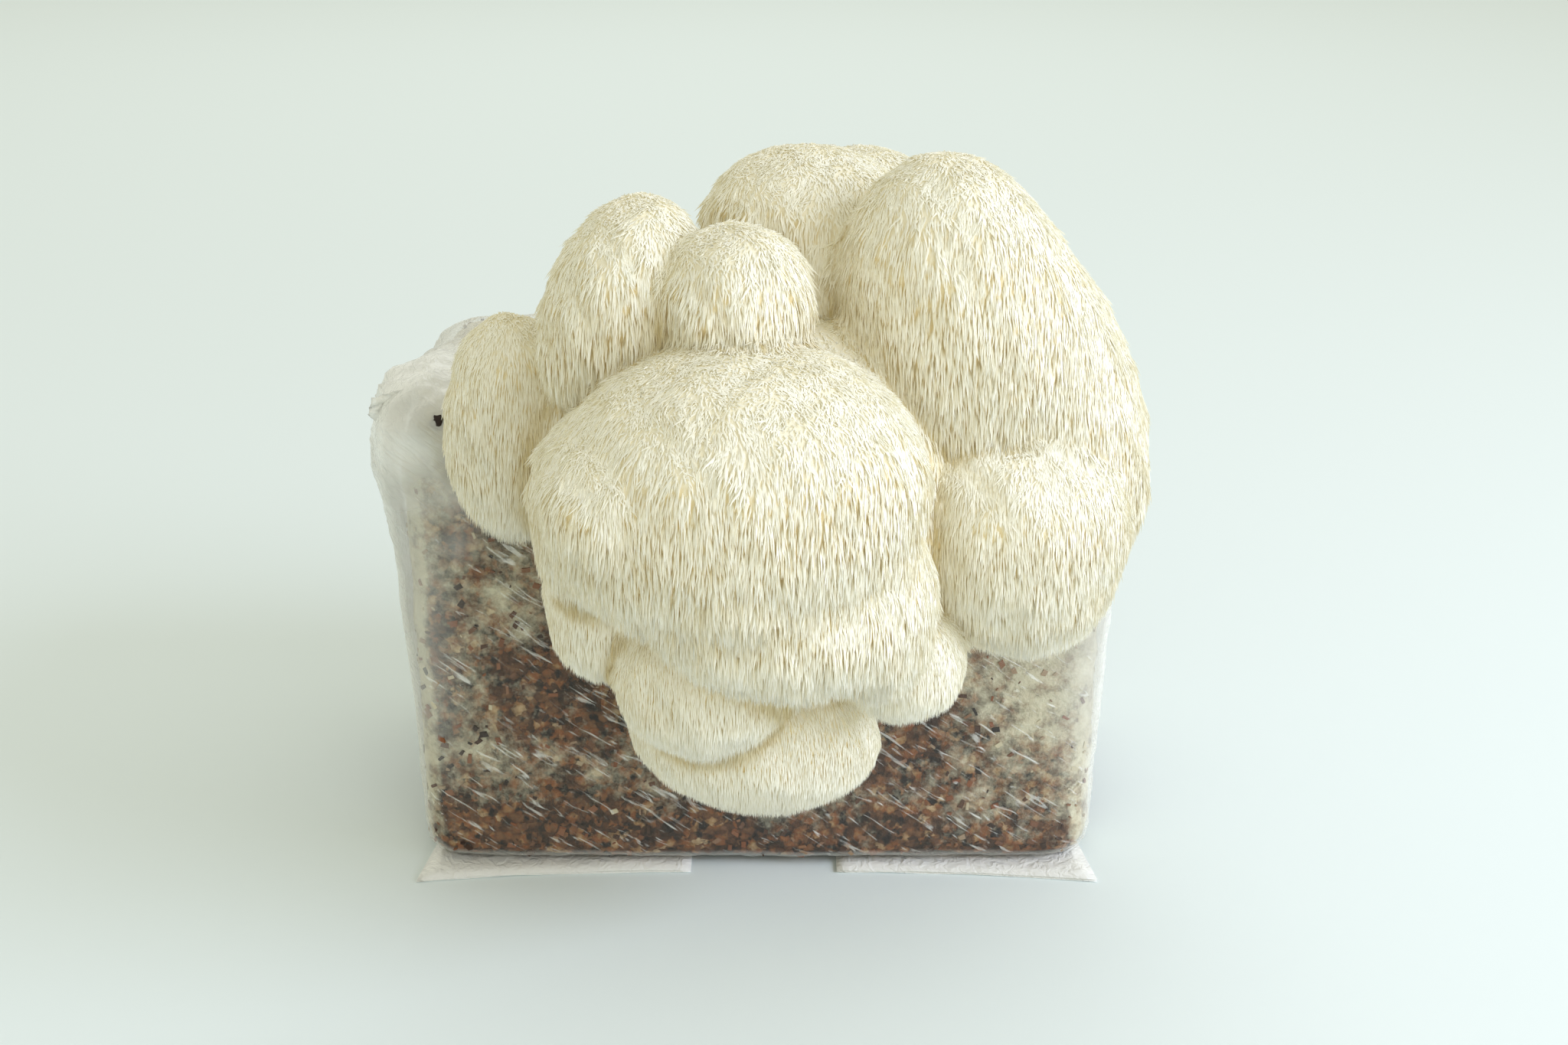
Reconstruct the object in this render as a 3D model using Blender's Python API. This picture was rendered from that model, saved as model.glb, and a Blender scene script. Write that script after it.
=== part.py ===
"""A lion's mane mushroom growing from a bagged block of sawdust.

The fruit body is one grown piece: rounded heads joined together, each covered in tufts of hanging
spines. It grows through a hole in the film of the bag, out of the colonised sawdust block inside.
The origin is the middle of the base, on the surface that the bag stands on. The fruit faces -Y.
"""

import math
import random

import bmesh
import bpy
from mathutils import Matrix, Vector, noise

MM = 0.001

# The sawdust block, a compressed brick that narrows a little towards its foot. Its upright and top
# edges are rounder than the ones round its foot.
BLOCK_WIDTH = 203 * MM
BLOCK_DEPTH = 127 * MM
BLOCK_TOP = 140 * MM
BLOCK_EDGE = 14 * MM
FOOT_EDGE = 5 * MM
BLOCK_TAPER = 0.012
BLOCK_SEGMENTS = 8
LUMP_SIZE = 24 * MM
LUMP_HEIGHT = 1.6 * MM

# The film of the bag, which clings to the block and stands off it in crumples near the top.
FILM_THICKNESS = 0.4 * MM
FIT_GAP = 0.3 * MM
CRUMPLE_SIZE = 17 * MM
CRUMPLE_HEIGHT = 3.5 * MM
PUFF_HEIGHT = 6 * MM
PUFF_REACH = 55 * MM
EAR_THICKNESS = 1.6 * MM
LEFT_EAR_ROOT = Vector((-101, -46, 136)) * MM
LEFT_EAR_SIZE = (17 * MM, 11 * MM)
RIGHT_EAR_ROOT = Vector((100, -34, 134)) * MM
RIGHT_EAR_SIZE = (10 * MM, 14 * MM)

# The folded foot of the bag, lying flat under the block, with a raised stretch at the front.
FOLD_THICKNESS = 1 * MM
FOLD_SIDE = 94 * MM
FOLD_BACK = 59 * MM
FOLD_FRONT = 67 * MM
FOLD_CORNER = 6 * MM
RAISED_LEFT = -19 * MM
RAISED_RIGHT = 21 * MM
RAISED_DEPTH = 26 * MM
BLOCK_BOTTOM = FOLD_THICKNESS + 0.5 * MM

# The stem of the fruit body, an oval neck through the hole in the film.
STEM_CENTRE = Vector((4, 0, 98)) * MM
STEM_HALF_WIDTH = 30 * MM
STEM_HALF_HEIGHT = 23 * MM
STEM_END = -88 * MM

# The tufts: how wide one is, how far apart the rows lie, and how far tips stand out and hang.
TUFT_WIDTH = 9.9 * MM
TUFT_ROW = 11.5 * MM
TUFT_RELIEF = 3.2 * MM
TUFT_DROOP = 4 * MM
TUFT_SEED = 2

# Each rounded head of the fruit body: its centre and half sizes in millimetres, and how many
# degrees it leans, positive with its top towards +X.
HEADS = {
    "core": ((8, -91, 122), (52, 38, 54), 0),
    "centre": ((-4, -123, 139), (50, 44, 39), -6),
    "centre_left": ((-42, -110, 130), (17, 21, 27), 0),
    "upper_left": ((-34, -91, 179), (21, 26, 31), 24),
    "upper_middle": ((-4, -104, 183), (21, 23, 21), 0),
    "top": ((14, -46, 191), (30, 29, 22), 0),
    "top_back": ((31, -14, 191), (22, 22, 16), 0),
    "right_main": ((53, -82, 174), (32, 31, 44), -10),
    "far_right": ((80, -78, 146), (25, 26, 40), -14),
    "right_low": ((67, -100, 121), (28, 25, 25), 0),
    "right_base": ((73, -90, 103), (21, 23, 20), 0),
    "left_small": ((-65, -76, 141), (20, 18, 33), 0),
    "under_left": ((-23, -132, 107), (22, 23, 22), 0),
    "under_right": ((9, -138, 106), (24, 24, 24), 0),
    "right_mid": ((31, -129, 112), (17, 19, 27), 0),
    "right_tip": ((39, -110, 88), (18, 19, 18), 0),
    "left_low": ((-41, -100, 101), (16, 18, 24), 0),
    "lower_left": ((-16, -116, 82), (23, 22, 21), 0),
    "bottom": ((0, -93, 60), (36, 28, 25), 8),
    "left_root": ((-49, -78, 137), (22, 17, 24), 0),
    "right_root": ((58, -82, 136), (30, 22, 32), 0),
    "low_root": ((2, -108, 100), (38, 27, 26), 0),
    "rear_left": ((-20, -50, 150), (30, 26, 28), 0),
    "rear_middle": ((15, -31, 161), (28, 26, 26), 0),
    "rear_right": ((45, -42, 160), (36, 32, 28), 0),
}

FRUIT_COLOUR = (0.84, 0.78, 0.63, 1)
SAWDUST_COLOUR = (0.22, 0.11, 0.065, 1)
FILM_COLOUR = (0.74, 0.76, 0.72, 1)


def clear_scene():
    for thing in list(bpy.data.objects):
        bpy.data.objects.remove(thing)


def new_collection(name, hidden=False):
    collection = bpy.data.collections.new(name)
    collection.hide_render = hidden
    bpy.context.scene.collection.children.link(collection)
    return collection


def new_material(name, colour, roughness, alpha=1.0):
    material = bpy.data.materials.new(name)
    material.use_nodes = True
    shader = material.node_tree.nodes["Principled BSDF"]
    shader.inputs["Base Color"].default_value = colour
    shader.inputs["Roughness"].default_value = roughness
    shader.inputs["Alpha"].default_value = alpha
    material.diffuse_color = colour[:3] + (alpha,)
    return material


def object_from(shape, name, collection):
    """Turns a bmesh into an object, with its faces pointing out, and frees the bmesh."""
    bmesh.ops.recalc_face_normals(shape, faces=shape.faces)
    mesh = bpy.data.meshes.new(name)
    shape.to_mesh(mesh)
    shape.free()
    thing = bpy.data.objects.new(name, mesh)
    collection.objects.link(thing)
    return thing


def as_helper(thing):
    thing.hide_render = True
    thing.display_type = "WIRE"
    return thing


def add_boolean(thing, operation, other):
    """Adds a Boolean with one object, or with every object of a collection."""
    modifier = thing.modifiers.new(operation.title() + "_" + other.name, "BOOLEAN")
    modifier.operation = operation
    modifier.solver = "EXACT"
    if isinstance(other, bpy.types.Collection):
        modifier.operand_type = "COLLECTION"
        modifier.collection = other
    else:
        modifier.object = other
    return modifier


def smooth_step(value, low, high):
    share = min(max((value - low) / (high - low), 0), 1)
    return share * share * (3 - 2 * share)


def film_slack(place, outward):
    """How far the film stands off the block: crumples on top, and a puffed left top edge."""
    upward = smooth_step(outward.z, 0.1, 0.7)
    crumple = abs(noise.noise(place / CRUMPLE_SIZE)) * CRUMPLE_HEIGHT * upward
    corner = Vector((-BLOCK_WIDTH / 2, -BLOCK_DEPTH / 4, BLOCK_TOP))
    near_corner = 1 - smooth_step((place - corner).length, 0, PUFF_REACH)
    puff = PUFF_HEIGHT * near_corner * smooth_step(outward.z - outward.x, 0.3, 1)
    return crumple + puff


def held_within(value, limit):
    return min(max(value, -limit), limit)


def rounded_off(place, half):
    """Moves a point of a box onto the rounded block. Returns it and the direction facing out."""
    edge = BLOCK_EDGE if place.z > 0 else FOOT_EDGE
    inner = Vector(
        held_within(along, size - margin)
        for along, size, margin in zip(place, half, (BLOCK_EDGE, BLOCK_EDGE, edge))
    )
    beside = Vector((place.x - inner.x, place.y - inner.y, 0))
    reach = max(abs(beside.x), abs(beside.y))
    level = min(reach, BLOCK_EDGE - edge)
    rise = Vector((0, 0, place.z - inner.z))
    outward = (beside.normalized() * (reach - level) + rise).normalized()
    return inner + beside.normalized() * level + outward * edge, outward


def wrapped_block(name, offset, collection, slack=False):
    """The lumpy rounded block, grown outwards by an offset, and by the film's slack on top."""
    shape = bmesh.new()
    bmesh.ops.create_cube(shape, size=2)
    bmesh.ops.subdivide_edges(
        shape, edges=shape.edges[:], cuts=BLOCK_SEGMENTS - 1, use_grid_fill=True
    )
    # The same diagonals in every copy keep the block and its film from crossing.
    bmesh.ops.triangulate(shape, faces=shape.faces[:], quad_method="FIXED")
    half = Vector((BLOCK_WIDTH, BLOCK_DEPTH, BLOCK_TOP - BLOCK_BOTTOM)) / 2
    middle = Vector((0, 0, (BLOCK_TOP + BLOCK_BOTTOM) / 2))
    for vertex in shape.verts:
        # The sine crowds the grid lines towards the edges, where the surface curves.
        place = Vector(math.sin(share * math.pi / 2) * size for share, size in zip(vertex.co, half))
        place, outward = rounded_off(place, half)
        place += middle
        lump = noise.noise(place / LUMP_SIZE) * LUMP_HEIGHT * smooth_step(outward.z, -1, -0.5)
        grown = lump + offset + (film_slack(place, outward) if slack else 0)
        place = place + outward * grown
        place.x *= 1 - BLOCK_TAPER * (1 - place.z / BLOCK_TOP)
        vertex.co = place
    return object_from(shape, name, collection)


def oval_plug(name, extra, collection):
    """An oval rod along Y on the stem's line, wider than the stem by an extra all round."""
    shape = bmesh.new()
    bmesh.ops.create_cone(
        shape,
        cap_ends=True,
        segments=28,
        radius1=1,
        radius2=1,
        depth=1,
        matrix=Matrix.Rotation(math.pi / 2, 4, "X"),
    )
    into_block = -BLOCK_DEPTH / 2 + BLOCK_EDGE
    for vertex in shape.verts:
        along = STEM_END if vertex.co.y < 0 else into_block
        vertex.co.x = STEM_CENTRE.x + vertex.co.x * (STEM_HALF_WIDTH + extra)
        vertex.co.z = STEM_CENTRE.z + vertex.co.z * (STEM_HALF_HEIGHT + extra)
        vertex.co.y = along
    return as_helper(object_from(shape, name, collection))


def head(name, centre, half_sizes, lean, collection):
    """One rounded head: staggered tufts whose tips reach its outline, stand out and hang down."""
    half = Vector(half_sizes) * MM
    waist = (half.x + half.y) / 2
    columns = 2 * round(math.pi * waist / TUFT_WIDTH)
    rows = round(math.pi * (half.z + waist) / 2 / TUFT_ROW)
    chance = random.Random(f"{TUFT_SEED} {name}")
    shape = bmesh.new()
    bmesh.ops.create_uvsphere(shape, u_segments=columns, v_segments=rows, radius=1)
    valleys = set()
    for vertex in shape.verts:
        direction = vertex.co.normalized()
        column = round(math.atan2(-direction.x, direction.y) * columns / math.tau)
        row = round(math.acos(max(-1, min(1, direction.z))) * rows / math.pi)
        flank = math.hypot(direction.x, direction.y)
        outward = Vector(part / size for part, size in zip(direction, half)).normalized()
        vertex.co = Vector(part * size for part, size in zip(direction, half))
        if (column + row) % 2 == 0:
            vertex.co.z -= TUFT_DROOP * flank * chance.uniform(0.6, 1.2)
        elif 0 < row < rows:
            relief = TUFT_RELIEF * (0.5 + 0.5 * flank) * chance.uniform(0.7, 1.15)
            vertex.co -= outward * relief
            valleys.add(vertex)
    for face in shape.faces[:]:
        hollow = [vertex for vertex in face.verts if vertex in valleys]
        if len(face.verts) == 4 and len(hollow) == 2:
            bmesh.utils.face_split(face, hollow[0], hollow[1])
    place = Matrix.Translation(Vector(centre) * MM)
    shape.transform(place @ Matrix.Rotation(math.radians(lean), 4, "Y"))
    return as_helper(object_from(shape, name, collection))


def make_fruit_body(parts, helpers, heads):
    """Joins the heads, hollows them where they press on the film, and adds the stem."""
    body = None
    for name, (centre, half_sizes, lean) in HEADS.items():
        collection = parts if name == "core" else heads
        piece = head(name, centre, half_sizes, lean, collection)
        if name == "core":
            body = piece
    body.name = "fruit_body"
    body.hide_render = False
    body.display_type = "TEXTURED"

    film_room = FIT_GAP + FILM_THICKNESS + FIT_GAP
    film_clearance = as_helper(wrapped_block("film_clearance", film_room, helpers, slack=True))
    block_clearance = as_helper(wrapped_block("block_clearance", FIT_GAP, helpers))
    stem = oval_plug("stem", 0, helpers)
    add_boolean(stem, "DIFFERENCE", block_clearance)

    add_boolean(body, "UNION", heads)
    add_boolean(body, "DIFFERENCE", film_clearance)
    add_boolean(body, "UNION", stem)
    body.data.materials.append(new_material("mushroom_flesh", FRUIT_COLOUR, 0.8))
    return body


def make_substrate_block(parts):
    block = wrapped_block("substrate_block", 0, parts)
    block.data.materials.append(new_material("colonised_sawdust", SAWDUST_COLOUR, 0.9))
    return block


def film_ear(name, root, direction, size, collection):
    """A flat pointed ear of film, where the gusset of the bag juts out at a corner."""
    width, length = size
    shape = bmesh.new()
    bmesh.ops.create_cone(
        shape, cap_ends=True, segments=8, radius1=0.5, radius2=0.12, depth=1
    )
    for vertex in shape.verts:
        vertex.co.x *= width
        vertex.co.y *= EAR_THICKNESS
        vertex.co.z = (vertex.co.z + 0.3) * length
    turn = Vector(direction).to_track_quat("Z", "X").to_matrix().to_4x4()
    shape.transform(Matrix.Translation(root) @ turn)
    return as_helper(object_from(shape, name, collection))


def folded_foot(collection):
    """The bag's folded foot: a flat outline with its front corners jutting out, extruded."""
    outline = [
        (-FOLD_SIDE - FOLD_CORNER, -FOLD_FRONT - FOLD_CORNER),
        (-FOLD_SIDE + 3 * FOLD_CORNER, -FOLD_FRONT),
        (RAISED_LEFT, -FOLD_FRONT),
        (RAISED_LEFT + FOLD_CORNER / 2, -FOLD_FRONT + RAISED_DEPTH),
        (RAISED_RIGHT - FOLD_CORNER / 2, -FOLD_FRONT + RAISED_DEPTH),
        (RAISED_RIGHT, -FOLD_FRONT),
        (FOLD_SIDE - 3 * FOLD_CORNER, -FOLD_FRONT),
        (FOLD_SIDE + FOLD_CORNER, -FOLD_FRONT - FOLD_CORNER),
        (FOLD_SIDE, -FOLD_FRONT / 2),
        (FOLD_SIDE, FOLD_BACK),
        (-FOLD_SIDE, FOLD_BACK),
        (-FOLD_SIDE, -FOLD_FRONT / 2),
    ]
    curve = bpy.data.curves.new("foot_outline", "CURVE")
    curve.dimensions = "2D"
    curve.fill_mode = "BOTH"
    curve.extrude = FOLD_THICKNESS / 2
    spline = curve.splines.new("POLY")
    spline.points.add(len(outline) - 1)
    for point, (across, along) in zip(spline.points, outline):
        point.co = (across, along, 0, 1)
    spline.use_cyclic_u = True
    guide = bpy.data.objects.new("foot_outline", curve)
    guide.location.z = FOLD_THICKNESS / 2
    collection.objects.link(guide)
    bpy.context.view_layer.update()

    evaluated = guide.evaluated_get(bpy.context.evaluated_depsgraph_get())
    shape = bmesh.new()
    shape.from_mesh(bpy.data.meshes.new_from_object(evaluated))
    bmesh.ops.remove_doubles(shape, verts=shape.verts, dist=0.01 * MM)
    shape.transform(guide.matrix_world)
    bpy.data.objects.remove(guide)
    return as_helper(object_from(shape, "folded_foot", collection))


def make_grow_bag(parts, helpers, folds):
    """The film round the block, its ears and its folded foot, with the hole for the stem."""
    bag = wrapped_block("grow_bag", FIT_GAP + FILM_THICKNESS, parts, slack=True)
    hole = oval_plug("film_hole", FIT_GAP, helpers)
    film_ear("left_ear", LEFT_EAR_ROOT, (-1, -0.3, 0.3), LEFT_EAR_SIZE, folds)
    film_ear("right_ear", RIGHT_EAR_ROOT, (1, -0.1, 0.1), RIGHT_EAR_SIZE, folds)
    folded_foot(folds)

    inside = as_helper(wrapped_block("bag_inside", FIT_GAP, helpers, slack=True))
    add_boolean(bag, "UNION", folds)
    add_boolean(bag, "DIFFERENCE", inside)
    add_boolean(bag, "DIFFERENCE", hole)
    bag.data.materials.append(new_material("clear_film", FILM_COLOUR, 0.2, alpha=0.35))
    return bag


def main():
    clear_scene()
    parts = new_collection("lions_mane_mushroom")
    helpers = new_collection("cutters", hidden=True)
    heads = new_collection("heads", hidden=True)
    folds = new_collection("bag_folds", hidden=True)
    make_fruit_body(parts, helpers, heads)
    make_substrate_block(parts)
    make_grow_bag(parts, helpers, folds)


main()
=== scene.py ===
import math

import bmesh
import bpy
import numpy as np
from mathutils import Matrix, Vector, noise
from mathutils.bvhtree import BVHTree


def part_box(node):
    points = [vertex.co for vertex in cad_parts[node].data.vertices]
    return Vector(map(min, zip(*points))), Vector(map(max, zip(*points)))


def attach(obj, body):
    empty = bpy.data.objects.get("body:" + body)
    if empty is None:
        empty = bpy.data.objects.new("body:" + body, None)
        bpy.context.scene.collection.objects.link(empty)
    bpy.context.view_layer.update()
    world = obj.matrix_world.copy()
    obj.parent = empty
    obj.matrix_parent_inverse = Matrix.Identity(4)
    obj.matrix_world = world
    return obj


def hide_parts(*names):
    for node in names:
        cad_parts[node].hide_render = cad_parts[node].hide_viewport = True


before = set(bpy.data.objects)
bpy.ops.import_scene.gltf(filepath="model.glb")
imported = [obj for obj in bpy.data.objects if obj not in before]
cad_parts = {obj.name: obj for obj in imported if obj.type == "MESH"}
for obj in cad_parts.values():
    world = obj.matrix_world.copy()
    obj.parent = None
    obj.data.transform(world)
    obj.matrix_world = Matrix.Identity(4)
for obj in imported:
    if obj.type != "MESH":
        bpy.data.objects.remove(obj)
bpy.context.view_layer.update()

MM = 0.001
DOWN = np.array((0.0, 0.0, -1.0))

# The view: a 50 mm lens on a 36 mm sensor, looking down at the front of the block.
CAMERA_PLACE = (0.008, -0.638, 0.3183)
CAMERA_PITCH = 20
LENS = 50
SENSOR = 36

# The block of sawdust, from the frame, and the film round it. The film stands off the block
# everywhere, more where it crumples on top, puffs up at its left top corner or is loose beside it.
block_low, block_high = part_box("substrate_block")
FILM_STAND_OFF = 0.8 * MM
FILM_THICKNESS = 0.15 * MM
CRUMPLE_SIZE = 17 * MM
CRUMPLE_HEIGHT = 3.5 * MM
PUFF_HEIGHT = 6 * MM
PUFF_REACH = 55 * MM
SIDE_STAND_OFF = 3.5 * MM
HAZE_SIZE = 13 * MM
HAZE_DRIFT = 18 * MM
HAZE_SHIFTS = (Vector((9.3, -1.5, -7.9)), Vector((0, 0, 0)), Vector((6.3, 0.2, -2.7)))
BLOCK_VOXEL = 2.8 * MM
FILM_VOXEL = 3.6 * MM
CHIP_COUNT = 1800

# The browns of the chips: bark, heartwood, sapwood, and the odd rust-coloured flake.
CHIP_STOPS = [
    (0.0, "#140D08"),
    (0.22, "#33210F"),
    (0.42, "#563823"),
    (0.56, "#775335"),
    (0.68, "#824C26"),
    (0.78, "#9A774E"),
    (1.0, "#C2AC88"),
]

# The loose chips have nearly the same browns, and the palest are grown over with mycelium.
LOOSE_CHIP_STOPS = [
    (0.0, "#1A100A"),
    (0.3, "#4A2F1E"),
    (0.55, "#6E4C36"),
    (0.68, "#824824"),
    (0.8, "#8A6A50"),
    (1.0, "#CBC2A4"),
]

# The creams of the mycelium's felt, from its thin tufts to its thick ones.
FELT_STOPS = [(0.36, "#A59C84"), (0.5, "#CDC6AA"), (0.64, "#DCD7BC")]

# The flesh along a spine: golden at its root, then cream, and nearly white at its tip.
SPINE_STOPS = [(0.0, "#D2BA84"), (0.3, "#E2D4AC"), (0.6, "#F0EDDC"), (1.0, "#F8F8F0")]

# The ears of film at the top corners, and the folded foot of the bag, as in the solid. Each haze is
# the slack that makes them milky.
LEFT_EAR_ROOT = Vector((-101, -46, 136)) * MM
LEFT_EAR_SIZE = (17 * MM, 11 * MM)
RIGHT_EAR_ROOT = Vector((100, -34, 134)) * MM
RIGHT_EAR_SIZE = (10 * MM, 14 * MM)
EAR_CRUMPLE = 2.2 * MM
EAR_HAZE = 0.7
FOLD_SIDE = 94 * MM
FOLD_BACK = 59 * MM
FOLD_FRONT = 67 * MM
FOLD_CORNER = 6 * MM
FOLD_HEIGHTS = (0.2 * MM, 0.8 * MM)
FOOT_HAZE = 1.05
RAISED_LEFT = -19 * MM
RAISED_RIGHT = 21 * MM
RAISED_DEPTH = 26 * MM

# Two crumbs of sawdust inside the film: a tan one in the right ear, a dark one at the left top.
TAN_CRUMB_PLACE = RIGHT_EAR_ROOT + Vector((7, -1, 0)) * MM
TAN_CRUMB_SIZE = (1.8 * MM, 1.5 * MM, 2.6 * MM)
DARK_CRUMB_PLACE = Vector((block_low.x, block_low.y, block_high.z)) + Vector((14, 4, -3)) * MM
DARK_CRUMB_SIZE = (2.4 * MM, 1.6 * MM, 2.0 * MM)

# The fruit body's neck, an oval from inside the front head to the block's front, and the room that
# the hole in the film leaves round it.
STEM_CENTRE = Vector((4, 0, 98)) * MM
STEM_HALF_WIDTH = 30 * MM
STEM_HALF_HEIGHT = 23 * MM
STEM_END = -88 * MM
STEM_GAP = 0.3 * MM
HOLE_ROOM = 0.5 * MM

# How far the flesh, the roots of spines and the rest of them keep off the block.
FLESH_CLEARANCE = FILM_STAND_OFF + 0.6 * MM
ROOT_CLEARANCE = 1.5 * MM
SPINE_CLEARANCE = 0.9 * MM

# Spines: one that hangs on a head's flank is about 6 mm long and 0.5 mm wide, and the lengths here
# are before each varies by chance. The room is the area of flesh that one spine stands on, and each
# inset is how far the flesh lies inside the outline of its head. The back and the inner heads keep
# only a share of their spines.
SPINE_HALF_WIDTH = 0.31 * MM
SPINE_THICKNESS = 0.2 * MM
FLANK_LENGTH = 7 * MM
CROWN_LENGTH = 3 * MM
UNDER_LENGTH = 6.5 * MM
VELVET_LENGTH = 3.6 * MM
FLANK_INSET = 1.6 * MM
CROWN_INSET = 1.2 * MM
UNDER_INSET = 4.6 * MM
FLANK_ROOM = 0.58 * MM * MM
CROWN_ROOM = 0.36 * MM * MM
VELVET_ROOM = 0.42 * MM * MM
BACK_THINNING = 0.4
HIDDEN_MARGIN = 1.8 * MM
FORWARD_PULL = 0.35
FLESH_VOXEL = 2.5 * MM
ROOT_DEPTH = 0.5 * MM
BEND_HEIGHT = 0.35 * MM
TIP_HEIGHT = 0.2 * MM
BEND_SHARE = 0.45
ROUND_SHARE = 3
FACING_SPREAD = 0.25
FLOW_WAVES = 7

# Here and there the spines part, and the golden flesh between them shows.
PARTING_SIZE = 1.7 * MM
PARTING_STRETCH = np.array((1, 1, 0.4))
PARTING_LEVEL = 0.28

# The flesh swells in low lumps, drawn out downwards, so that the spines hang in shallow tresses.
LUMP_SIZE = 11 * MM
LUMP_HEIGHT = 0.35 * MM
LUMP_WAVES = 9

# Each rounded head of the fruit body, much as in the solid, with the folds under the front head, one
# head behind it and one at the right added: centre and half sizes in millimetres, its lean in
# degrees, the piece that its spines belong to, and how velvety, short and even they are.
HEADS = {
    "core": ((8, -91, 122), (52, 38, 54), 0, "spines_inner", 0.3),
    "centre": ((-4, -123, 139), (50, 44, 39), -6, "spines_centre", 0.0),
    "centre_left": ((-42, -110, 130), (17, 21, 27), 0, "spines_left", 0.2),
    "upper_left": ((-34, -91, 179), (21, 26, 31), 24, "spines_upper", 0.0),
    "upper_middle": ((-4, -104, 183), (21, 23, 21), 0, "spines_upper", 0.0),
    "top": ((14, -46, 191), (30, 29, 22), 0, "spines_top", 0.1),
    "top_back": ((31, -14, 191), (22, 22, 16), 0, "spines_top", 0.1),
    "right_main": ((53, -82, 174), (32, 31, 44), -10, "spines_right_main", 0.0),
    "far_right": ((80, -78, 146), (25, 26, 40), -14, "spines_right", 0.2),
    "right_low": ((67, -100, 121), (28, 25, 25), 0, "spines_right", 0.2),
    "right_base": ((73, -90, 103), (21, 23, 20), 0, "spines_right", 0.7),
    "left_small": ((-65, -76, 141), (20, 18, 33), 0, "spines_left", 0.4),
    "fold_left": ((-33, -136, 141), (20, 25, 16), 10, "spines_centre", 0.1),
    "under": ((7, -134, 112), (35, 26, 23), 4, "spines_low", 0.2),
    "fold_under": ((-3, -142, 124), (19, 22, 15), 0, "spines_low", 0.1),
    "right_mid": ((31, -129, 112), (17, 19, 27), 0, "spines_low", 0.3),
    "right_tip": ((39, -110, 88), (18, 19, 18), 0, "spines_low", 0.7),
    "left_low": ((-41, -100, 101), (16, 18, 24), 0, "spines_left", 0.7),
    "lower_left": ((-13, -113, 86), (25, 24, 25), 0, "spines_bottom", 0.7),
    "bottom": ((0, -93, 60), (36, 28, 25), 8, "spines_bottom", 1.0),
    "left_root": ((-49, -78, 137), (22, 17, 24), 0, "spines_inner", 0.3),
    "right_root": ((58, -82, 136), (30, 22, 32), 0, "spines_inner", 0.3),
    "low_root": ((2, -108, 100), (38, 27, 26), 0, "spines_inner", 0.3),
    "rear_left": ((-20, -50, 150), (30, 26, 28), 0, "spines_rear", 0.2),
    "rear_middle": ((15, -31, 161), (28, 26, 26), 0, "spines_rear", 0.2),
    "rear_right": ((45, -42, 160), (36, 32, 28), 0, "spines_rear", 0.2),
    "top_front": ((18, -65, 172), (17, 19, 21), 0, "spines_top", 0.0),
    "right_side": ((80, -88, 124), (18, 19, 27), 0, "spines_right", 0.2),
}

# Heads of one family have grown together, with only shallow dips between them. Others meet in a
# narrow crease, where the spines are painted browner as painted shade, and the shallow dips of a
# family get less of it. Each reach is how far from a crease it is felt.
FAMILIES = {
    "centre": "front",
    "centre_left": "front",
    "fold_left": "front",
    "under": "front",
    "fold_under": "front",
    "right_mid": "front",
    "right_tip": "front",
    "right_main": "right",
    "far_right": "right",
    "right_low": "right",
    "right_base": "right",
    "right_side": "right",
    "top": "rear",
    "top_front": "rear",
    "top_back": "rear",
    "rear_left": "rear",
    "rear_middle": "rear",
    "rear_right": "rear",
}
FAMILY_MELT = {"front": 4.5 * MM, "right": 22 * MM, "rear": 12 * MM}
STRANGER_MELT = 2.5 * MM
CREASE_SHADE_REACH = 5 * MM
FAMILY_CREASE_SHADE = 0.25


def linear(hex_colour):
    """An sRGB hex colour as linear red, green, blue and alpha."""
    parts = [int(hex_colour[start:start + 2], 16) / 255 for start in (1, 3, 5)]
    curved = [part / 12.92 if part <= 0.04045 else ((part + 0.055) / 1.055) ** 2.4 for part in parts]
    return (*curved, 1)


def smooth_step(value, low, high):
    share = np.clip((value - low) / (high - low), 0, 1)
    return share * share * (3 - 2 * share)


def add_node(tree, kind, settings=None, inputs=None, stops=()):
    """Adds a node with its settings, each input set to a value or linked from a socket, and the
    places and hex colours of its ramp."""
    node = tree.nodes.new(kind)
    for name, value in (settings or {}).items():
        setattr(node, name, value)
    for name, value in (inputs or {}).items():
        if isinstance(value, bpy.types.NodeSocket):
            tree.links.new(value, node.inputs[name])
        else:
            node.inputs[name].default_value = value
    for _ in stops[2:]:
        node.color_ramp.elements.new(0.5)
    for index, (place, colour) in enumerate(stops):
        node.color_ramp.elements[index].position = place
        node.color_ramp.elements[index].color = linear(colour)
    return node


def new_material(name):
    material = bpy.data.materials.new(name)
    material.use_nodes = True
    tree = material.node_tree
    return material, tree, tree.nodes["Principled BSDF"]


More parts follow.
